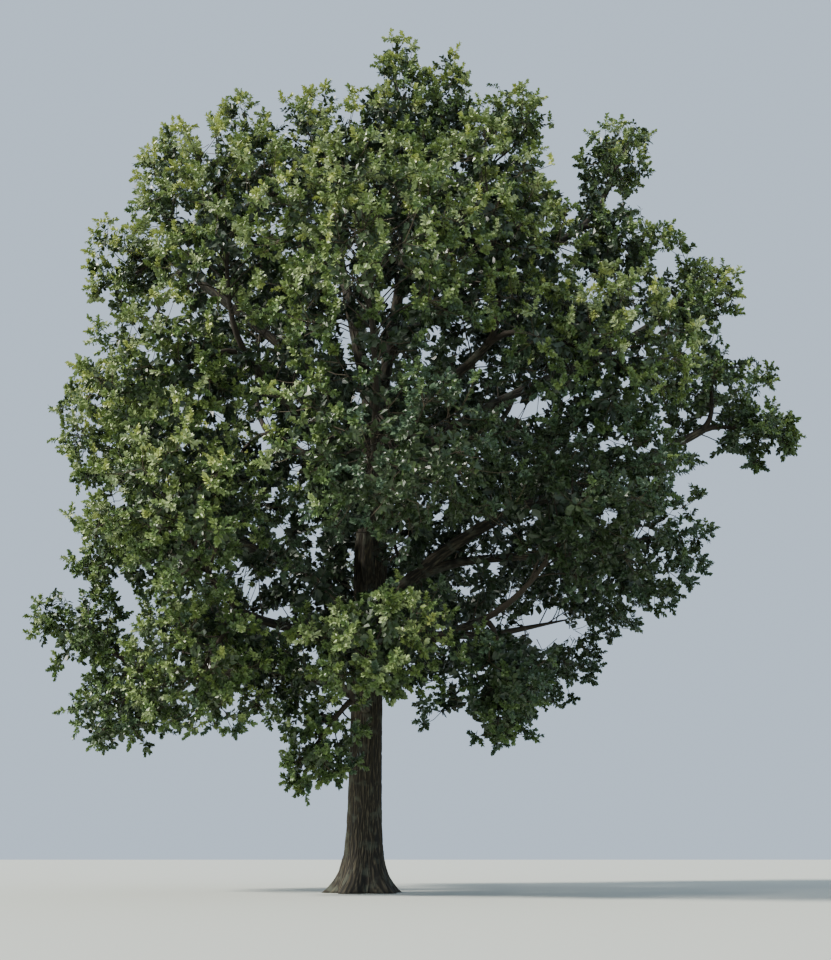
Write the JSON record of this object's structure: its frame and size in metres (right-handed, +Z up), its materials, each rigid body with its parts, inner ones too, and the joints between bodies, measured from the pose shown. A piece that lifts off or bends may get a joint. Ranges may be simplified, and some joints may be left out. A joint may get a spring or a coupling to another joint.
{
  "type": "oak tree",
  "caption": "Large open-grown oak with a flared, forking trunk, spreading boughs and a full leafy crown.",
  "frame": {"origin": "middle of the flat cut under the trunk, at ground level", "axes": "+Z up along the trunk, +X to the right and +Y away from the picture's viewer"},
  "size_m": [26.6331, 25.4008, 32.0785],
  "materials": {
    "bark": "rough, ridged and furrowed grey-brown bark",
    "foliage": "matt to slightly waxy green leaves"
  },
  "bodies": {
    "root": {"trunk": "bark", "leader_left": "bark", "leader_right": "bark", "bough_upper_left": "bark", "bough_upper_right": "bark", "bough_right_high": "bark", "bough_front_left_high": "bark", "bough_front_right_high": "bark", "bough_back_right_high": "bark", "bough_back_left_high": "bark", "bough_right_main": "bark", "bough_right_low": "bark", "bough_left_main": "bark", "bough_front": "bark", "bough_back": "bark", "bough_front_left_low": "bark", "bough_front_right_low": "bark", "bough_back_right_low": "bark", "bough_back_left_low": "bark", "bough_left_low": "bark", "bough_front_low": "bark", "foliage_crest_left": "foliage", "foliage_shoulder_left": "foliage", "foliage_front_crest": "foliage", "foliage_top_left": "foliage", "foliage_top_right": "foliage", "foliage_shoulder_right": "foliage", "foliage_back_crest": "foliage", "foliage_left_upper": "foliage", "foliage_left_high": "foliage", "foliage_right_upper": "foliage", "foliage_right_high": "foliage", "foliage_right_lobe": "foliage", "foliage_front_left_high": "foliage", "foliage_front_left": "foliage", "foliage_front_right_high": "foliage", "foliage_front_right": "foliage", "foliage_back_right_high": "foliage", "foliage_back_right": "foliage", "foliage_back_left_high": "foliage", "foliage_back_left": "foliage", "foliage_right_spray": "foliage", "foliage_right_outer": "foliage", "foliage_right_low": "foliage", "foliage_left_middle": "foliage", "foliage_left_outer": "foliage", "foliage_front_high": "foliage", "foliage_front_middle": "foliage", "foliage_back_high": "foliage", "foliage_back_middle": "foliage", "foliage_front_left_middle": "foliage", "foliage_front_left_low": "foliage", "foliage_front_right_middle": "foliage", "foliage_front_right_low": "foliage", "foliage_back_right_low": "foliage", "foliage_back_left_low": "foliage", "foliage_left_tip": "foliage", "foliage_left_low": "foliage", "foliage_front_low": "foliage", "foliage_front_hanging": "foliage"}
  },
  "joints": []
}
